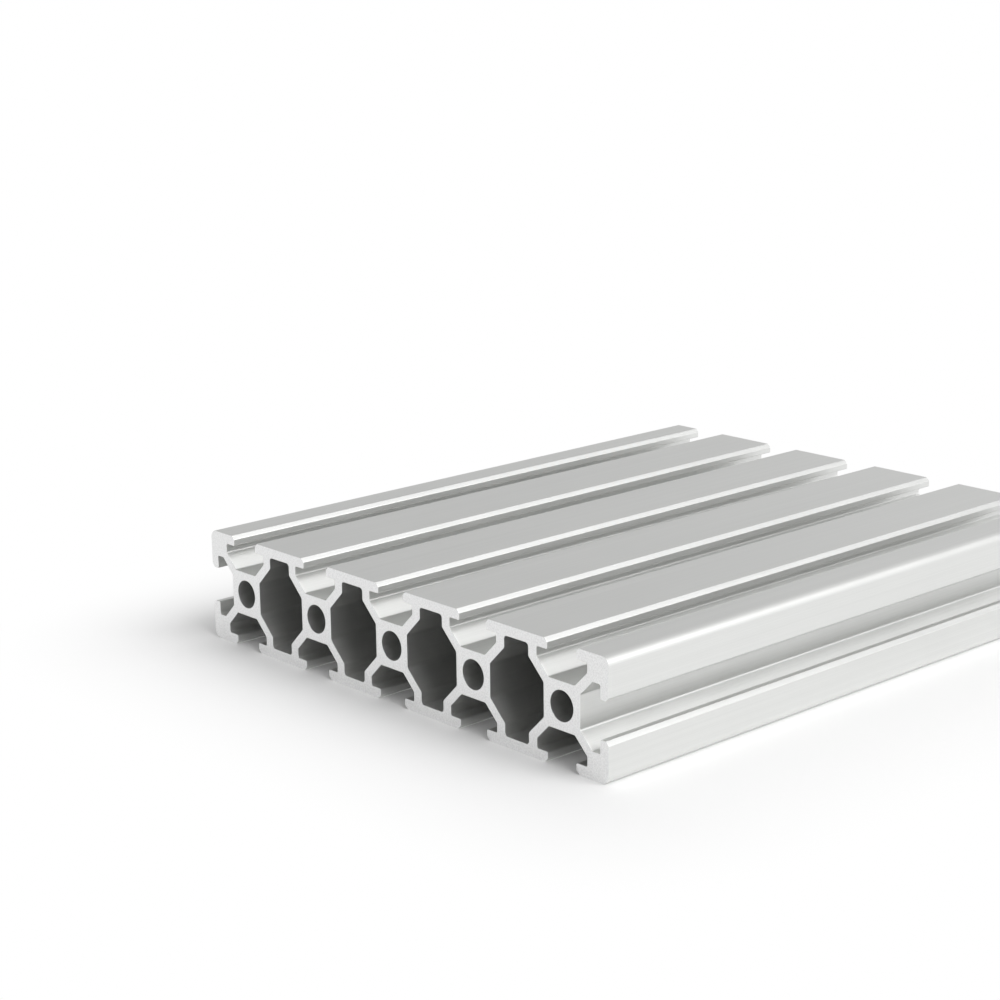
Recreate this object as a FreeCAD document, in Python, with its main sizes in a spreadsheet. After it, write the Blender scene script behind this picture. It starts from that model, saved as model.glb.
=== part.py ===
import FreeCAD, Part
import math
import os
import Sketcher
from FreeCAD import Placement, Rotation, Vector

# Flat bar of slotted framing extrusion: a row of square cells side by side, one cell high.
# The section is the whole part. Each cell has a bore in a square core, and thin webs leave the
# core along the diagonals of the cell. They carry the corner rails and the flanges, whose lips
# overhang a T-slot on every outer side. Between two cells the webs enclose a hollow that is
# wide at its middle and narrow in the necks under the flanges.
#
# Frame: X across the width, Y along the length, Z up. The origin is under the middle of the bar,
# on the plane that it lies on.

NODE = "t_slot_extrusion"
SHEET = "Sizes"

# Alias, millimetres or a count, and what the size is.
DRIVING_SIZES = [
    ("cell_size", 20, "side of one square cell, and the height of the bar"),
    ("cell_count", 5, "cells side by side"),
    ("bar_length", 120, "cut length"),
    ("outer_corner_radius", 1.5, "round along the four outer corners"),
    ("flange_thickness", 1.8, "lips of a slot, and the skin over a hollow"),
    ("slot_opening", 6.2, "clear width between two lips"),
    ("lip_chamfer", 0.65, "bevel along the outer edge of a lip"),
    ("lip_nose_radius", 0.3, "round along the inner edge of a lip"),
    ("lip_root_radius", 0.3, "round where a lip meets the side of its slot"),
    ("neck_width", 5.4, "clear width of a hollow under its flange"),
    ("neck_wall", 1.85, "wall between a neck and the slot beside it"),
    ("web_thickness", 1.6, "diagonal webs"),
    ("bore_diameter", 5.0, "bore along each cell"),
    ("bore_wall", 1.45, "thinnest metal round a bore"),
    ("slot_corner_radius", 0.5, "rounds at the foot of a slot"),
    ("hollow_corner_radius", 0.6, "rounds inside a hollow"),
]

# Sizes that follow from the driving ones, as formulas on the sheet. Each is measured from the
# centre of a cell, so half a cell is the height of an outer face.
HALF_CELL = "Sizes.cell_size / 2"
HALF_BAR_WIDTH = "Sizes.cell_size * Sizes.cell_count / 2"
HALF_CORE = "(Sizes.bore_diameter / 2 + Sizes.bore_wall)"
FLANGE_UNDERSIDE = "Sizes.cell_size / 2 - Sizes.flange_thickness"
HALF_OPENING = "Sizes.slot_opening / 2"
HALF_SLOT = "(Sizes.cell_size - Sizes.neck_width) / 2 - Sizes.neck_wall"
# A web lies half on each side of the diagonal, so at 45 degrees its faces are shifted by this.
WEB_SHIFT = "Sizes.web_thickness / sqrt(2)"
FIRST_CELL = "Sizes.cell_size * (1 - Sizes.cell_count) / 2"
LAST_CELL = "Sizes.cell_size * (Sizes.cell_count - 1) / 2"
FIRST_HOLLOW = "Sizes.cell_size * (2 - Sizes.cell_count) / 2"


def make_sheet(doc):
    """Keep the driving sizes in a spreadsheet: name, value and meaning, one size to a row."""
    sheet = doc.addObject("Spreadsheet::Sheet", SHEET)
    for row, (alias, value, meaning) in enumerate(DRIVING_SIZES, start=1):
        sheet.set(f"A{row}", alias)
        sheet.set(f"B{row}", str(value))
        sheet.set(f"C{row}", meaning)
        sheet.setAlias(f"B{row}", alias)
    doc.recompute()
    return sheet


def origin_feature(body, role):
    """One of the body's own origin planes or axes, such as XZ_Plane."""
    return next(feature for feature in body.Origin.OriginFeatures if feature.Role == role)


def add_section_sketch(body, name, across=None, turn=0):
    """Sketch across the bar. Its origin is moved along X by a formula and turned by an angle."""
    sketch = body.newObject("Sketcher::SketchObject", name)
    sketch.AttachmentSupport = [(origin_feature(body, "XZ_Plane"), "")]
    sketch.MapMode = "FlatFace"
    sketch.AttachmentOffset = Placement(Vector(), Rotation(Vector(0, 0, 1), turn))
    if across:
        sketch.setExpression("AttachmentOffset.Base.x", across)
    return sketch


def value_of(sheet, formula):
    """What a formula on the sheet comes to."""
    return float(sheet.evalExpression(formula))


def bind(sketch, constraint, name, formula):
    """Add a constraint under a name and tie its value to a formula."""
    sketch.renameConstraint(sketch.addConstraint(constraint), name)
    sketch.setExpression(f"Constraints.{name}", formula)


class Corner:
    """One corner of an outline: its name, place and sketch point, and the radius of its round."""

    def __init__(self, sketch, name, place, radius):
        self.name = name
        self.place = place
        self.radius = radius
        self.point = sketch.addGeometry(Part.Point(place), True)


class Round:
    """Arc at a corner, touching the side that comes in and the side that goes on."""

    def __init__(self, before, corner, after, radius):
        inward = (before - corner).normalize()
        onward = (after - corner).normalize()
        half_angle = inward.getAngle(onward) / 2
        reach = radius / math.tan(half_angle)
        self.first = corner + inward * reach
        self.last = corner + onward * reach
        self.centre = corner + (inward + onward).normalize() * (radius / math.sin(half_angle))
        self.radius = radius
        self.turns_left = (corner - before).cross(after - corner).z > 0

    def arc(self):
        """The arc, drawn anticlockwise as sketches keep it."""
        start, end = (self.first, self.last) if self.turns_left else (self.last, self.first)
        angles = [math.atan2(p.y - self.centre.y, p.x - self.centre.x) for p in (start, end)]
        return Part.ArcOfCircle(Part.Circle(self.centre, Vector(0, 0, 1), self.radius), *angles)

    def ends(self):
        """Sketch numbers of the arc's ends: where the outline comes in, and where it goes on."""
        return (1, 2) if self.turns_left else (2, 1)


def mark_corners(sketch, sheet, right_corners):
    """Points at the corners of an outline, down its right side and up its left side."""
    corners = []
    for name, out, up, radius in right_corners:
        place = Vector(value_of(sheet, out), value_of(sheet, up), 0)
        corner = Corner(sketch, name, place, radius)
        bind(sketch, Sketcher.Constraint("DistanceX", -1, 1, corner.point, 1, place.x), f"{name}_out", out)
        bind(sketch, Sketcher.Constraint("DistanceY", -1, 1, corner.point, 1, place.y), f"{name}_up", up)
        corners.append(corner)
    for right in corners[::-1]:
        left = Corner(sketch, right.name, Vector(-right.place.x, right.place.y, 0), right.radius)
        sketch.addConstraint(Sketcher.Constraint("Symmetric", right.point, 1, left.point, 1, -2))
        corners.append(left)
    return corners


def round_at(sheet, corners, i):
    """The round at one corner of an outline, or None where the corner is sharp."""
    if not corners[i].radius:
        return None
    before = corners[i - 1].place
    after = corners[(i + 1) % len(corners)].place
    return Round(before, corners[i].place, after, value_of(sheet, corners[i].radius))


def draw_sides(sketch, corners, rounds):
    """Straight sides of an outline, from each corner or round to the next."""
    sides = []
    for i, corner in enumerate(corners):
        following = (i + 1) % len(corners)
        start = rounds[i].last if rounds[i] else corner.place
        end = rounds[following].first if rounds[following] else corners[following].place
        sides.append(sketch.addGeometry(Part.LineSegment(start, end)))
    return sides


def join_sharp(sketch, corner, side_in, side_out):
    """Bring two sides together at their corner."""
    sketch.addConstraint(Sketcher.Constraint("Coincident", side_in, 2, corner.point, 1))
    sketch.addConstraint(Sketcher.Constraint("Coincident", side_out, 1, corner.point, 1))


def join_by_round(sketch, corner, rounding, side_in, side_out):
    """Join two sides, which aim at their corner, by an arc that touches both."""
    arc = sketch.addGeometry(rounding.arc())
    arc_in, arc_out = rounding.ends()
    sketch.addConstraint(Sketcher.Constraint("PointOnObject", corner.point, 1, side_in))
    sketch.addConstraint(Sketcher.Constraint("PointOnObject", corner.point, 1, side_out))
    sketch.addConstraint(Sketcher.Constraint("Tangent", side_in, 2, arc, arc_in))
    sketch.addConstraint(Sketcher.Constraint("Tangent", arc, arc_out, side_out, 1))
    return arc


def draw_outline(sketch, sheet, right_corners):
    """Closed outline, alike on both sides of the sketch's upright axis.

    right_corners lists the corners of the right side from the top down: a name, the distance
    from the axis, the height, and the radius of the round there or None, all as formulas.
    """
    corners = mark_corners(sketch, sheet, right_corners)
    rounds = [round_at(sheet, corners, i) for i in range(len(corners))]
    sides = draw_sides(sketch, corners, rounds)
    first_arcs = {}
    for i, corner in enumerate(corners):
        if not rounds[i]:
            join_sharp(sketch, corner, sides[i - 1], sides[i])
            continue
        arc = join_by_round(sketch, corner, rounds[i], sides[i - 1], sides[i])
        if corner.radius in first_arcs:
            sketch.addConstraint(Sketcher.Constraint("Equal", first_arcs[corner.radius], arc))
        else:
            first_arcs[corner.radius] = arc
            radius_held = Sketcher.Constraint("Radius", arc, rounds[i].radius)
            bind(sketch, radius_held, f"{corner.name}_radius", corner.radius)


def draw_blank(sketch, sheet):
    """Full width and height of the bar, with its outer corners rounded."""
    corners = [
        ("top_corner", HALF_BAR_WIDTH, HALF_CELL, "Sizes.outer_corner_radius"),
        ("bottom_corner", HALF_BAR_WIDTH, f"-{HALF_CELL}", "Sizes.outer_corner_radius"),
    ]
    draw_outline(sketch, sheet, corners)


def draw_slot(sketch, sheet):
    """T-slot, seen from the centre of its cell with the mouth up.

    The bevels of the two lips run on past the outer face by their own height.
    """
    slot_round = "Sizes.slot_corner_radius"
    corners = [
        ("mouth", f"{HALF_OPENING} + 2 * Sizes.lip_chamfer", f"{HALF_CELL} + Sizes.lip_chamfer", None),
        ("bevel", HALF_OPENING, f"{HALF_CELL} - Sizes.lip_chamfer", None),
        ("nose", HALF_OPENING, FLANGE_UNDERSIDE, "Sizes.lip_nose_radius"),
        ("root", HALF_SLOT, FLANGE_UNDERSIDE, "Sizes.lip_root_radius"),
        ("shoulder", HALF_SLOT, f"{HALF_SLOT} + {WEB_SHIFT}", slot_round),
        ("floor", f"{HALF_CORE} - {WEB_SHIFT}", HALF_CORE, slot_round),
    ]
    draw_outline(sketch, sheet, corners)


def draw_hollow(sketch, sheet):
    """Hollow between two cells, seen from the middle of the seam where they meet."""
    hollow_round = "Sizes.hollow_corner_radius"
    half_neck = "Sizes.neck_width / 2"
    half_middle = f"{HALF_CELL} - {HALF_CORE}"
    upper = [
        ("neck_end", half_neck, FLANGE_UNDERSIDE, hollow_round),
        ("neck_foot", half_neck, f"{HALF_CELL} - {half_neck} - {WEB_SHIFT}", hollow_round),
        ("middle", half_middle, f"{HALF_CORE} - {WEB_SHIFT}", hollow_round),
    ]
    lower = [(f"low_{name}", out, f"-({up})", radius) for name, out, up, radius in upper[::-1]]
    draw_outline(sketch, sheet, upper + lower)


def draw_bore(sketch):
    """Round bore on the centre of its cell."""
    half_bore = "Sizes.bore_diameter / 2"
    circle = sketch.addGeometry(Part.Circle(Vector(), Vector(0, 0, 1), 1))
    sketch.addConstraint(Sketcher.Constraint("Coincident", circle, 3, -1, 1))
    bind(sketch, Sketcher.Constraint("Radius", circle, 1), "bore_radius", half_bore)


def pad_bar(body, sketch):
    """Full length of the bar, half on each side of the origin."""
    pad = body.newObject("PartDesign::Pad", "Blank")
    pad.Profile = sketch
    pad.SideType = "Symmetric"
    pad.setExpression("Length", "Sizes.bar_length")
    return pad


def cut_through(body, sketch, name):
    """Cut a sketch through the bar from end to end."""
    pocket = body.newObject("PartDesign::Pocket", name)
    pocket.Profile = sketch
    pocket.SideType = "Symmetric"
    pocket.Type = "ThroughAll"
    return pocket


def row_of(body, cut, name, count):
    """Repeat a cut along the width, one cell apart."""
    row = body.newObject("PartDesign::LinearPattern", name)
    row.Originals = [cut]
    set_row(row, body, count)
    body.Tip = row
    return row


def set_row(row, body, count):
    """Direction, step and number of copies of a row."""
    row.Direction = (origin_feature(body, "X_Axis"), [""])
    row.Mode = "Spacing"
    row.setExpression("Offset", "Sizes.cell_size")
    row.setExpression("Occurrences", count)


def mirrored(body, cut, name, plane):
    """The same cut again on the other side of an origin plane."""
    mirror = body.newObject("PartDesign::Mirrored", name)
    mirror.Originals = [cut]
    mirror.MirrorPlane = (origin_feature(body, plane), [""])
    body.Tip = mirror
    return mirror


def rows_above_and_below(body, cut, name, count):
    """Repeat a cut along the width, and the whole row again on the opposite face."""
    rows = body.newObject("PartDesign::MultiTransform", name)
    rows.Originals = [cut]
    row = body.Document.addObject("PartDesign::LinearPattern", f"{name}Row")
    set_row(row, body, count)
    opposite = body.Document.addObject("PartDesign::Mirrored", f"{name}Opposite")
    opposite.MirrorPlane = (origin_feature(body, "XY_Plane"), [""])
    rows.Transformations = [row, opposite]
    body.Tip = rows
    return rows


def make_extrusion(doc, sheet):
    """The bar as one body: the blank, then its slots, hollows and bores."""
    body = doc.addObject("PartDesign::Body", "Extrusion")
    body.Label = NODE
    body.setExpression("Placement.Base.z", HALF_CELL)

    blank_sketch = add_section_sketch(body, "BlankSection")
    draw_blank(blank_sketch, sheet)
    pad_bar(body, blank_sketch)

    slot_sketch = add_section_sketch(body, "FaceSlotSection", FIRST_CELL)
    draw_slot(slot_sketch, sheet)
    face_slot = cut_through(body, slot_sketch, "FaceSlot")
    rows_above_and_below(body, face_slot, "FaceSlots", "Sizes.cell_count")

    edge_sketch = add_section_sketch(body, "EdgeSlotSection", LAST_CELL, turn=-90)
    draw_slot(edge_sketch, sheet)
    edge_slot = cut_through(body, edge_sketch, "EdgeSlot")
    mirrored(body, edge_slot, "EdgeSlots", "YZ_Plane")

    hollow_sketch = add_section_sketch(body, "HollowSection", FIRST_HOLLOW)
    draw_hollow(hollow_sketch, sheet)
    hollow = cut_through(body, hollow_sketch, "Hollow")
    row_of(body, hollow, "Hollows", "Sizes.cell_count - 1")

    bore_sketch = add_section_sketch(body, "BoreSection", FIRST_CELL)
    draw_bore(bore_sketch)
    bore = cut_through(body, bore_sketch, "Bore")
    row_of(body, bore, "Bores", "Sizes.cell_count")
    return body


def check_states(doc):
    """Stop if any object failed to rebuild."""
    for item in doc.Objects:
        if "Invalid" in item.State or "Error" in item.State:
            raise RuntimeError(f"{item.Name} failed to rebuild: {item.State}")


def check_sketches(doc):
    """Stop if a sketch is not solved, or is free to move."""
    for sketch in doc.findObjects("Sketcher::SketchObject"):
        if sketch.solve() != 0 or not sketch.FullyConstrained:
            raise RuntimeError(f"{sketch.Name} is not fully held by its constraints")


def check_cuts(body):
    """Stop if a cut took no metal away."""
    volume_so_far = None
    for feature in body.Group:
        if not hasattr(feature, "AddSubShape") and not hasattr(feature, "Originals"):
            continue
        volume = feature.Shape.Volume
        if volume_so_far is not None and volume >= volume_so_far:
            raise RuntimeError(f"{feature.Name} cut nothing")
        volume_so_far = volume


def check_solid(body):
    """Stop unless the part is one valid solid."""
    shape = body.Shape
    if shape.isNull() or not shape.isValid() or len(shape.Solids) != 1:
        raise RuntimeError(f"{body.Label} is not one valid solid")


def main():
    doc = FreeCAD.newDocument("SlottedBar")
    sheet = make_sheet(doc)
    body = make_extrusion(doc, sheet)
    doc.recompute()
    check_states(doc)
    check_sketches(doc)
    check_cuts(body)
    check_solid(body)
    os.makedirs("parts", exist_ok=True)
    body.Shape.exportStep(f"parts/{body.Label}.step")
    print(body.Label, "volume", round(body.Shape.Volume, 2), "mm3", body.Shape.BoundBox)


main()
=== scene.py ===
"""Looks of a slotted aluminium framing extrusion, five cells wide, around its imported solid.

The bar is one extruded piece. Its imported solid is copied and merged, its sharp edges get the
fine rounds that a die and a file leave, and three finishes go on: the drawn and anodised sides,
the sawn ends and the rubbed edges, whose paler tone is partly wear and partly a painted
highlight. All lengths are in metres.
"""

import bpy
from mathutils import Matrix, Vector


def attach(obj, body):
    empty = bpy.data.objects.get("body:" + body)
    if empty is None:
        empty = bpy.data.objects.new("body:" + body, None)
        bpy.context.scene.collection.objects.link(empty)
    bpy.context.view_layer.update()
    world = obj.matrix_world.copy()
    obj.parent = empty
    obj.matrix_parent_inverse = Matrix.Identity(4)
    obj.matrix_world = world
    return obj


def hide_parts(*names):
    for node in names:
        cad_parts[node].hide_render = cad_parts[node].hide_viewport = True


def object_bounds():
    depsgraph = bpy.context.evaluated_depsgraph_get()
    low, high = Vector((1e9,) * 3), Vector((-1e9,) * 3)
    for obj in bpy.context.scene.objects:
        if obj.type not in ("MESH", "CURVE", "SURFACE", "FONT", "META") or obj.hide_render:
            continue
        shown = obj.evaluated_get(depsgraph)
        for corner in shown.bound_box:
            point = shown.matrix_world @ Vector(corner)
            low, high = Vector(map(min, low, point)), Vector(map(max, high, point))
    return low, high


bl_info = {
    "name": "T-slot extrusion",
    "version": (1, 0, 0),
    "blender": (4, 5, 0),
    "location": "3D View > Sidebar > Extrusion",
    "description": "Finishes a packed framing extrusion and sets it in a plain studio",
    "category": "Object",
}

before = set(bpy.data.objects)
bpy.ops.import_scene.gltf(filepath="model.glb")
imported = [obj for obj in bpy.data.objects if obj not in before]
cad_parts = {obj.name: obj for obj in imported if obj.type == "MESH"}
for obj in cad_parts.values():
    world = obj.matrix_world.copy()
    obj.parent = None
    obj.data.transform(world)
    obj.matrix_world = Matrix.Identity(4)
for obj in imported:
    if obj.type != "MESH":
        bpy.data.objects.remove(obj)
CAD_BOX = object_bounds()

import math

import bmesh
import bpy
from mathutils import Matrix, Vector

NODE = "t_slot_extrusion"
BAR = "extruded_bar"
BODY = "root"

# Places of the finishes in the bar's list of materials
SIDES, ENDS, EDGES = 0, 1, 2

# Limits in the making of the mesh
MERGE_WITHIN = 1e-7              # points nearer than this become one
FLAT_WITHIN = math.radians(0.2)  # faces that bend less than this become one
SHARP_FROM = math.radians(20.0)  # edges that bend more than this get a round
ROUND_STRIPS = 3                 # strips of faces across a round
END_FACING = 0.9                 # how much an end's normal points along the bar, at least

# Patterns of the finishes, in features per metre
CLOUD_SCALE = 90.0               # slow change of gloss over the drawn sides
ETCH_SCALE = 16000.0             # satin etch under the clear coating
MOTTLE_SCALE = 900.0             # patches on a sawn end
GRAIN_SCALE = 3600.0             # speckle on a sawn end
WEAR_SCALE = 700.0               # patches of wear along an edge
NICK_SCALE = 6000.0              # fine nicks in an edge

NOISE_LOW, NOISE_HIGH = 0.3, 0.7  # range that most of a noise pattern lies in
RING_RATE = 20.0                 # radians that the ring pattern turns in one unit
BLADE_SIDE = 0.04                # how far the saw blade's centre stands to the side

# Nearest and farthest that the camera sees
CLIP_START, CLIP_END = 0.01, 100.0


# Sizes and colours

def length(name, description, default):
    """A length property in metres."""
    return bpy.props.FloatProperty(
        name=name, description=description, default=default,
        min=0.0, subtype="DISTANCE", unit="LENGTH", precision=5,
    )


def share(name, description, default):
    """A property from nothing to all."""
    return bpy.props.FloatProperty(
        name=name, description=description, default=default,
        min=0.0, max=1.0, subtype="FACTOR",
    )


def colour(name, description, default):
    """A colour property."""
    return bpy.props.FloatVectorProperty(
        name=name, description=description, default=default,
        size=3, min=0.0, max=1.0, subtype="COLOR",
    )


def turn(name, description, degrees):
    """An angle property, given in degrees."""
    return bpy.props.FloatProperty(
        name=name, description=description, default=math.radians(degrees),
        subtype="ANGLE", unit="ROTATION",
    )


def level(name, description, default):
    """A strength of light."""
    return bpy.props.FloatProperty(
        name=name, description=description, default=default, min=0.0,
    )


class BarSizes(bpy.types.PropertyGroup):
    """Small sizes of the bar's edges and surface"""

    edge_round: length("Edge round", "Width of the fine round along each sharp edge", 0.00012)
    die_line: length("Die line", "Spacing of the fine lines that the die leaves", 0.00018)
    die_band: length("Die band", "Spacing of the broader bands along the bar", 0.0014)
    line_run: length("Line run", "Length over which a die line keeps its look", 0.07)
    line_depth: length("Line depth", "Depth of the die lines", 0.0000008)
    nick_depth: length("Nick depth", "Depth of the wear on the outer edges", 0.00000025)
    saw_step: length("Saw step", "Spacing of the marks that the saw leaves on an end", 0.0006)
    saw_reach: length("Saw reach", "Radius of the saw blade's marks", 0.15)
    saw_depth: length("Saw depth", "Depth of the saw marks", 0.000006)


class BarColours(bpy.types.PropertyGroup):
    """Colours and gloss of the bar's finishes"""

    metal_dark: colour("Drawn metal, dark", "Darkest tone between die lines", (0.725, 0.730, 0.718))
    metal_pale: colour("Drawn metal, pale", "Palest tone between die lines", (0.800, 0.805, 0.793))
    sawn_dark: colour("Sawn metal, dark", "Darkest tone of the cut ends", (0.770, 0.772, 0.770))
    sawn_pale: colour("Sawn metal, pale", "Palest tone of the cut ends", (0.936, 0.938, 0.936))
    # Paler than the drawn metal: partly rubbed wear, partly a painted highlight along the edges
    edge_wear_and_highlight_tone: colour("Edge metal", "Tone of the rubbed edges", (0.860, 0.865, 0.858))
    drawn_gloss: share("Drawn roughness", "Roughness of the drawn sides", 0.46)
    sawn_gloss: share("Sawn roughness", "Roughness of the cut ends", 0.52)
    edge_gloss: share("Edge roughness", "Roughness of the rubbed edges", 0.35)


class StudioSetting(bpy.types.PropertyGroup):
    """Camera, lamps and floor"""

    camera_place: bpy.props.FloatVectorProperty(
        name="Camera place", description="Where the camera stands", size=3,
        default=(0.26609, -0.27653, 0.12353), subtype="XYZ", unit="LENGTH",
    )
    camera_azimuth: turn("Camera azimuth", "Turn of the view about the upright", 47.858)
    camera_elevation: turn("Camera elevation", "Height of the camera above the horizon", 14.593)
    camera_roll: turn("Camera roll", "Lean of the view", -0.712)
    lens: bpy.props.FloatProperty(
        name="Lens", description="Focal length", default=79.534, min=1.0, unit="CAMERA",
    )
    floor_tone: colour("Floor", "Tone of the floor", (0.9, 0.9, 0.9))
    floor_reach: length("Floor reach", "Distance from the bar to the floor's edge", 12.0)
    floor_gap: length("Floor gap", "Hair's breadth between the bar and the floor", 0.00001)
    floor_lift: length("Floor lift", "Height up to which the bar looks past the floor", 0.00006)
    shade_reach: length("Shade reach", "Width of floor that shows the bar's shadow", 0.04)
    sky_level: level("Sky level", "Strength of the light from above", 0.54)
    backdrop_level: level("Backdrop level", "Strength of the pale backdrop at the horizon", 1.0)
    backdrop_low: turn("Backdrop low", "Height up to which the backdrop is at full strength", 2.0)
    backdrop_high: turn("Backdrop high", "Height where the backdrop has faded to the sky", 14.0)
    key_level: level("Key level", "Strength of the main lamp", 2.0)
    key_spread: turn("Key spread", "Width of the main lamp as the bar sees it", 54.0)
    key_azimuth: turn("Key azimuth", "Side that the main lamp stands on", 100.0)
    key_elevation: turn("Key elevation", "Height of the main lamp", 40.0)
    back_level: level("Back level", "Strength of the lamp behind the bar", 0.40)
    back_spread: turn("Back spread", "Width of the back lamp as the bar sees it", 130.0)
    back_azimuth: turn("Back azimuth", "Side that the back lamp stands on", 150.0)
    back_elevation: turn("Back elevation", "Height of the back lamp", 25.0)


# Node trees

class Nodes:
    """Adds nodes to one tree and joins them."""

    def __init__(self, tree):
        self.tree = tree
        tree.nodes.clear()

    def join(self, value, socket):
        """Joins a socket to another, or sets a plain value on it."""
        if isinstance(value, bpy.types.NodeSocket):
            self.tree.links.new(value, socket)
        else:
            socket.default_value = value

    def add(self, kind, settings=None, **inputs):
        """Adds a node with its settings and its inputs, whose names have _ for a space."""
        node = self.tree.nodes.new(kind)
        for name, value in (settings or {}).items():
            setattr(node, name, value)
        for name, value in inputs.items():
            self.join(value, node.inputs[name.replace("_", " ")])
        return node

    def maths(self, operation, *values):
        """A sum on values, each a socket or a number."""
        node = self.add("ShaderNodeMath", {"operation": operation})
        for value, socket in zip(values, node.inputs):
            self.join(value, socket)
        return node.outputs[0]

    def vector(self, operation, *values):
        """A sum on vectors, each a socket or three numbers."""
        node = self.add("ShaderNodeVectorMath", {"operation": operation})
        for value, socket in zip(values, node.inputs):
            self.join(value, socket)
        return node.outputs

    def place(self):
        """The place on the piece, in metres."""
        return self.add("ShaderNodeTexCoord").outputs["Object"]

    def stretched(self, place, scale):
        """The place, stretched along each axis."""
        return self.add("ShaderNodeMapping", Vector=place, Scale=scale).outputs["Vector"]

    def noise(self, place, scale, detail=2.0, roughness=0.5):
        """Soft noise of that scale, from 0 to 1."""
        return self.add(
            "ShaderNodeTexNoise",
            Vector=place, Scale=scale, Detail=detail, Roughness=roughness,
        ).outputs["Fac"]

    def span(self, value, low, high, start=0.0, end=1.0, curve="LINEAR"):
        """The value, brought from start..end to low..high."""
        return self.add(
            "ShaderNodeMapRange", {"interpolation_type": curve},
            Value=value, From_Min=start, From_Max=end, To_Min=low, To_Max=high,
        ).outputs["Result"]

    def noise_span(self, value, low, high):
        """A noise, brought from its usual range to low..high."""
        return self.span(value, low, high, NOISE_LOW, NOISE_HIGH)

    def sum_of(self, first, second, weight):
        """The first value and the second times its weight."""
        return self.maths("MULTIPLY_ADD", second, weight, first)

    def blend(self, amount, dark, pale):
        """A colour between dark and pale."""
        node = self.add("ShaderNodeMix", {"data_type": "RGBA"})
        ends = [socket for socket in node.inputs if socket.type == "RGBA"]
        self.join(amount, node.inputs["Factor"])
        self.join((*dark, 1.0), ends[0])
        self.join((*pale, 1.0), ends[1])
        return [socket for socket in node.outputs if socket.type == "RGBA"][0]

    def bump(self, height, depth):
        """A surface normal from a height of that depth."""
        node = self.add("ShaderNodeBump", Height=height, Distance=depth, Strength=1.0)
        return node.outputs["Normal"]

    def looked_at(self):
        """1 for rays that show a surface by sight, in metal or through glass, else 0."""
        path = self.add("ShaderNodeLightPath").outputs
        seen = self.maths("MAXIMUM", path["Is Camera Ray"], path["Is Glossy Ray"])
        return self.maths("MAXIMUM", seen, path["Is Transmission Ray"])

    def mix(self, amount, first, second):
        """Two shaders, mixed."""
        node = self.add("ShaderNodeMixShader", Fac=amount)
        self.join(first, node.inputs[1])
        self.join(second, node.inputs[2])
        return node.outputs["Shader"]

    def output(self, surface):
        """The material's output."""
        self.add("ShaderNodeOutputMaterial", Surface=surface)

    def metal(self, tone, gloss, normal):
        """The metal shader and the material's output."""
        shader = self.add(
            "ShaderNodeBsdfPrincipled",
            Base_Color=tone, Roughness=gloss, Normal=normal, Metallic=1.0,
        )
        self.output(shader.outputs["BSDF"])


def new_material(name):
    """An empty node material and its nodes."""
    material = bpy.data.materials.new(name)
    material.use_nodes = True
    return material, Nodes(material.node_tree)


# Finishes

def drawn_finish(sizes, colours):
    """Drawn and clear anodised sides: fine lines along the bar over a satin etch."""
    material, nodes = new_material("drawn_anodised_sides")
    place = nodes.place()
    line_place = nodes.stretched(place, (1.0, sizes.die_line / sizes.line_run, 1.0))
    lines = nodes.noise(line_place, 1.0 / sizes.die_line, detail=3.0, roughness=0.6)
    bands = nodes.noise(line_place, 1.0 / sizes.die_band)
    cloud = nodes.noise(place, CLOUD_SCALE)
    etch = nodes.noise(place, ETCH_SCALE, detail=1.0)

    tone = nodes.sum_of(nodes.noise_span(lines, 0.0, 0.5), bands, weight=0.5)
    line_gloss = nodes.span(lines, colours.drawn_gloss - 0.10, colours.drawn_gloss)
    gloss = nodes.sum_of(line_gloss, cloud, weight=0.1)
    height = nodes.sum_of(nodes.sum_of(lines, bands, weight=1.2), etch, weight=0.25)
    normal = nodes.bump(height, sizes.line_depth)
    nodes.metal(nodes.blend(tone, colours.metal_dark, colours.metal_pale), gloss, normal)
    return material


def sawn_finish(sizes, colours):
    """Sawn ends: wide arcs from the blade and a speckled, duller face."""
    material, nodes = new_material("sawn_ends")
    place = nodes.place()
    blade_place = nodes.add(
        "ShaderNodeMapping", Vector=place, Location=(BLADE_SIDE, 0.0, sizes.saw_reach),
    ).outputs["Vector"]
    arcs = nodes.add(
        "ShaderNodeTexWave", {"wave_type": "RINGS", "rings_direction": "Y"},
        Vector=blade_place, Scale=2.0 * math.pi / (RING_RATE * sizes.saw_step),
        Distortion=2.5, Detail=3.0,
    ).outputs["Fac"]
    mottle = nodes.noise(place, MOTTLE_SCALE, detail=4.0, roughness=0.65)
    grain = nodes.noise(place, GRAIN_SCALE, detail=3.0, roughness=0.6)

    patches = nodes.noise_span(mottle, 0.0, 0.4)
    tone = nodes.sum_of(patches, nodes.noise_span(grain, 0.0, 1.0), weight=0.9)
    gloss = nodes.noise_span(mottle, colours.sawn_gloss - 0.06, colours.sawn_gloss + 0.06)
    height = nodes.sum_of(nodes.sum_of(arcs, mottle, weight=0.8), grain, weight=0.5)
    normal = nodes.bump(height, sizes.saw_depth)
    nodes.metal(nodes.blend(tone, colours.sawn_dark, colours.sawn_pale), gloss, normal)
    return material


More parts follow.
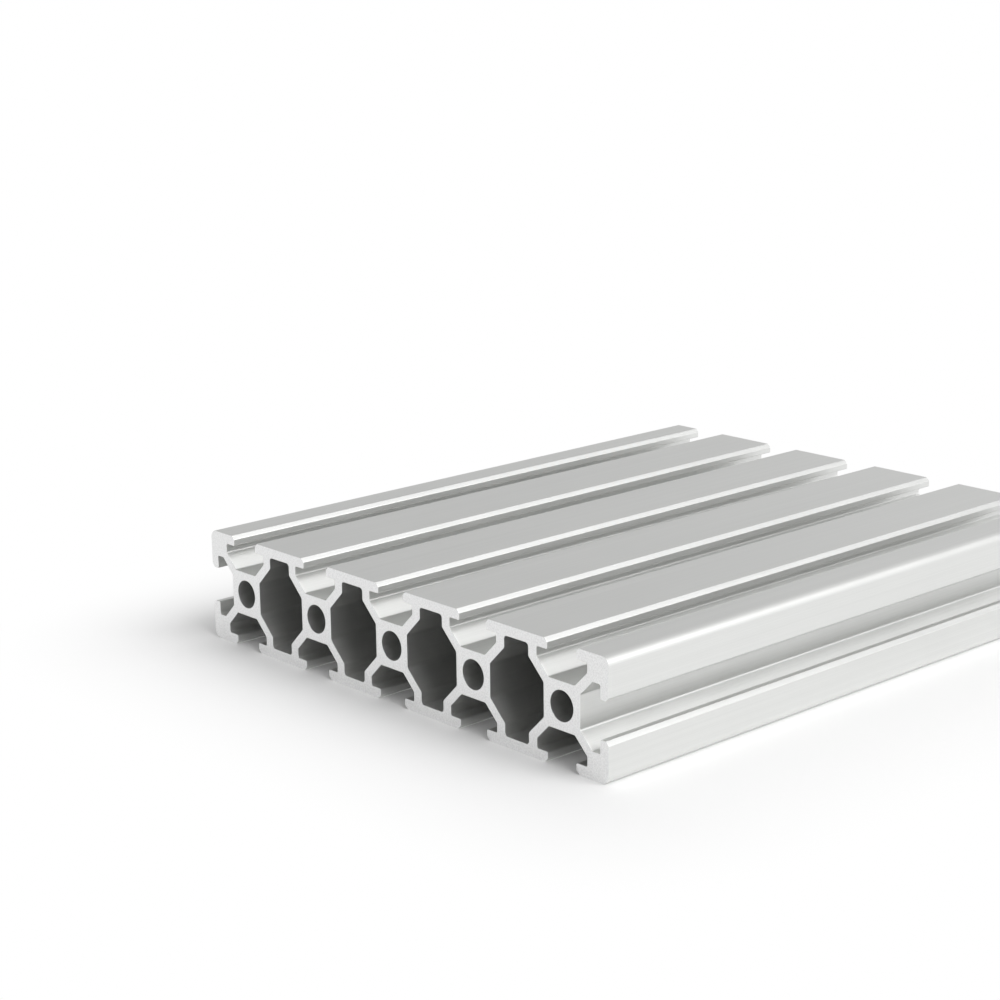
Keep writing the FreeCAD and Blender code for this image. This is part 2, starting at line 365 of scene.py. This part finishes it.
def rubbed_and_highlit_finish(sizes, colours):
    """Rubbed edges: the same metal, smoother where hands and tables touch it, and paler, partly
    from wear and partly as a painted highlight.
    """
    material, nodes = new_material("rubbed_edges")
    place = nodes.place()
    wear = nodes.noise(place, WEAR_SCALE, detail=3.0, roughness=0.6)
    nicks = nodes.noise(place, NICK_SCALE, roughness=0.6)

    gloss = nodes.noise_span(wear, colours.edge_gloss - 0.03, colours.edge_gloss + 0.03)
    normal = nodes.bump(nodes.sum_of(nicks, wear, weight=0.5), sizes.nick_depth)
    # Painted highlight: the edge colour never falls below the palest drawn tone, and the wear
    # patches lift it further
    nodes.metal(nodes.blend(wear, colours.metal_pale, colours.edge_wear_and_highlight_tone), gloss, normal)
    return material


# The bar

def select_only(piece):
    """Makes a piece the only one selected, and the active one."""
    bpy.ops.object.select_all(action="DESELECT")
    piece.select_set(True)
    bpy.context.view_layer.objects.active = piece


def merged_copy():
    """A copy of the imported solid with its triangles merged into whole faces."""
    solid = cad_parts[NODE]
    bar = bpy.data.objects.new(BAR, solid.data.copy())
    bar.data.name = BAR
    bpy.context.scene.collection.objects.link(bar)
    select_only(bar)
    bpy.ops.object.mode_set(mode="EDIT")
    bpy.ops.mesh.select_all(action="SELECT")
    bpy.ops.mesh.customdata_custom_splitnormals_clear()
    bpy.ops.mesh.remove_doubles(threshold=MERGE_WITHIN)
    bpy.ops.mesh.dissolve_limited(angle_limit=FLAT_WITHIN)
    bpy.ops.object.mode_set(mode="OBJECT")
    bar.data.materials.clear()
    return bar


def mark_ends(bar):
    """Puts the sawn finish on the two faces that close the bar."""
    for face in bar.data.polygons:
        face.material_index = ENDS if abs(face.normal.y) > END_FACING else SIDES


def round_edges(bar, width):
    """Gives every sharp edge a fine round with the rubbed finish and its painted highlight."""
    select_only(bar)
    bpy.ops.object.mode_set(mode="EDIT")
    bpy.ops.mesh.select_mode(type="EDGE")
    bpy.ops.mesh.select_all(action="DESELECT")
    bpy.ops.mesh.edges_select_sharp(sharpness=SHARP_FROM)
    bpy.ops.mesh.bevel(
        offset=width, offset_type="OFFSET", segments=ROUND_STRIPS, profile=0.5,
        affect="EDGES", clamp_overlap=True, material=EDGES,
    )
    bpy.ops.object.mode_set(mode="OBJECT")


def rub_and_highlight_outer_edges(bar):
    """Keeps the rubbed finish, with its painted highlight, on the rounds that stand out, and takes
    it off those in corners.
    """
    work = bmesh.new()
    work.from_mesh(bar.data)
    for face in work.faces:
        bend = sum(edge.calc_length() * edge.calc_face_angle_signed() for edge in face.edges)
        if face.material_index == EDGES and bend < 0.0:
            face.material_index = SIDES
    work.to_mesh(bar.data)
    work.free()


def even_shading(bar):
    """Smooth shading that leaves the flat faces flat."""
    select_only(bar)
    bpy.ops.object.shade_smooth()
    bpy.ops.object.modifier_add(type="WEIGHTED_NORMAL")
    bar.modifiers[-1].keep_sharp = True
    bpy.ops.object.modifier_apply(modifier=bar.modifiers[-1].name)


class EXTRUSION_OT_bar(bpy.types.Operator):
    """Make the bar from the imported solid, with fine edges and its three finishes"""

    bl_idname = "extrusion.bar"
    bl_label = "Extruded bar"

    def execute(self, context):
        sizes, colours = context.scene.bar_sizes, context.scene.bar_colours
        bar = merged_copy()
        bar.data.materials.append(drawn_finish(sizes, colours))
        bar.data.materials.append(sawn_finish(sizes, colours))
        bar.data.materials.append(rubbed_and_highlit_finish(sizes, colours))
        mark_ends(bar)
        round_edges(bar, sizes.edge_round)
        rub_and_highlight_outer_edges(bar)
        even_shading(bar)
        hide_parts(NODE)
        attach(bar, BODY)
        return {"FINISHED"}


# The studio

def direction(azimuth, elevation):
    """The way from the bar towards that azimuth and height."""
    flat = math.cos(elevation)
    return Vector((math.sin(azimuth) * flat, -math.cos(azimuth) * flat, math.sin(elevation)))


def make_camera(studio):
    """Stands the camera at the photograph's viewing angle."""
    camera = bpy.data.objects.new("camera", bpy.data.cameras.new("camera"))
    bpy.context.scene.collection.objects.link(camera)
    camera.data.lens = studio.lens
    camera.data.clip_start = CLIP_START
    camera.data.clip_end = CLIP_END
    back = direction(studio.camera_azimuth, studio.camera_elevation)
    look = (-back).to_track_quat("-Z", "Y").to_matrix().to_4x4()
    place = Matrix.Translation(Vector(studio.camera_place))
    camera.matrix_world = place @ look @ Matrix.Rotation(studio.camera_roll, 4, "Z")
    bpy.context.scene.camera = camera


def floor_finish(studio):
    """A matt floor with the bar's shadow, plain white farther off and clear from below."""
    material, nodes = new_material("plain_floor")
    past = nodes.vector("ABSOLUTE", nodes.place())["Vector"]
    past = nodes.vector("SUBTRACT", past, CAD_BOX[1])["Vector"]
    away = nodes.vector("MAXIMUM", past, (0.0, 0.0, 0.0))["Vector"]
    distance = nodes.vector("LENGTH", away)["Value"]
    far = nodes.span(distance, 0.0, 1.0, 0.0, studio.shade_reach, "SMOOTHSTEP")
    matt = nodes.add("ShaderNodeBsdfDiffuse", Color=(*studio.floor_tone, 1.0)).outputs["BSDF"]
    white = nodes.add("ShaderNodeEmission", Strength=1.0).outputs["Emission"]
    top = nodes.mix(nodes.maths("MULTIPLY", far, nodes.looked_at()), matt, white)

    # The bar's underside lies on the floor, and would see only the dark between them
    ray = nodes.add("ShaderNodeLightPath").outputs["Ray Length"]
    touching = nodes.maths("LESS_THAN", ray, studio.floor_lift)
    below = nodes.add("ShaderNodeNewGeometry").outputs["Backfacing"]
    clear = nodes.add("ShaderNodeBsdfTransparent").outputs["BSDF"]
    nodes.output(nodes.mix(nodes.maths("MAXIMUM", below, touching), top, clear))
    return material


def make_floor(studio):
    """Lays a wide floor under the bar."""
    bpy.ops.object.select_all(action="DESELECT")
    bpy.ops.mesh.primitive_plane_add(
        size=2.0 * studio.floor_reach, location=(0.0, 0.0, -studio.floor_gap),
    )
    floor = bpy.context.active_object
    floor.name = "floor"
    floor.data.materials.append(floor_finish(studio))


def make_sky(studio):
    """A pale backdrop all round, with a dimmer sky above it."""
    world = bpy.data.worlds.new("studio")
    world.use_nodes = True
    bpy.context.scene.world = world
    nodes = Nodes(world.node_tree)
    way = nodes.add("ShaderNodeTexCoord").outputs["Generated"]
    height = nodes.add("ShaderNodeSeparateXYZ", Vector=way).outputs["Z"]
    low, high = math.sin(studio.backdrop_low), math.sin(studio.backdrop_high)
    strength = nodes.span(
        height, studio.backdrop_level, studio.sky_level, low, high, "SMOOTHSTEP",
    )
    light = nodes.add("ShaderNodeBackground", Color=(1.0, 1.0, 1.0, 1.0), Strength=strength)
    nodes.add("ShaderNodeOutputWorld", Surface=light.outputs["Background"])


def make_lamp(name, strength, spread, azimuth, elevation):
    """A wide soft lamp, far off on that side."""
    lamp = bpy.data.objects.new(name, bpy.data.lights.new(name, "SUN"))
    bpy.context.scene.collection.objects.link(lamp)
    lamp.data.energy = strength
    lamp.data.angle = spread
    lamp.rotation_mode = "QUATERNION"
    lamp.rotation_quaternion = direction(azimuth, elevation).to_track_quat("Z", "Y")


class EXTRUSION_OT_studio(bpy.types.Operator):
    """Set the floor, the light and the camera"""

    bl_idname = "extrusion.studio"
    bl_label = "Studio"

    def execute(self, context):
        studio = context.scene.studio_setting
        make_floor(studio)
        make_sky(studio)
        for name in ("key", "back"):
            make_lamp(
                name,
                strength=getattr(studio, name + "_level"),
                spread=getattr(studio, name + "_spread"),
                azimuth=getattr(studio, name + "_azimuth"),
                elevation=getattr(studio, name + "_elevation"),
            )
        make_camera(studio)
        context.scene.view_settings.view_transform = "Standard"
        return {"FINISHED"}


# The panel

class EXTRUSION_PT_panel(bpy.types.Panel):
    """Lists the pieces and the studio"""

    bl_idname = "EXTRUSION_PT_panel"
    bl_label = "T-slot extrusion"
    bl_space_type = "VIEW_3D"
    bl_region_type = "UI"
    bl_category = "Extrusion"

    def draw(self, context):
        layout, scene = self.layout, context.scene
        layout.operator(EXTRUSION_OT_bar.bl_idname)
        layout.operator(EXTRUSION_OT_studio.bl_idname)
        for group in (scene.bar_sizes, scene.bar_colours, scene.studio_setting):
            box = layout.box()
            for name in group.__annotations__:
                box.prop(group, name)


CLASSES = (
    BarSizes, BarColours, StudioSetting,
    EXTRUSION_OT_bar, EXTRUSION_OT_studio, EXTRUSION_PT_panel,
)


def register():
    """Makes the classes and the scene's settings known."""
    for item in CLASSES:
        bpy.utils.register_class(item)
    bpy.types.Scene.bar_sizes = bpy.props.PointerProperty(type=BarSizes)
    bpy.types.Scene.bar_colours = bpy.props.PointerProperty(type=BarColours)
    bpy.types.Scene.studio_setting = bpy.props.PointerProperty(type=StudioSetting)


def unregister():
    """Takes the settings and the classes away."""
    del bpy.types.Scene.studio_setting
    del bpy.types.Scene.bar_colours
    del bpy.types.Scene.bar_sizes
    for item in reversed(CLASSES):
        bpy.utils.unregister_class(item)


def main():
    """Builds everything in order."""
    register()
    bpy.ops.extrusion.bar()
    bpy.ops.extrusion.studio()


if __name__ == "__main__":
    main()
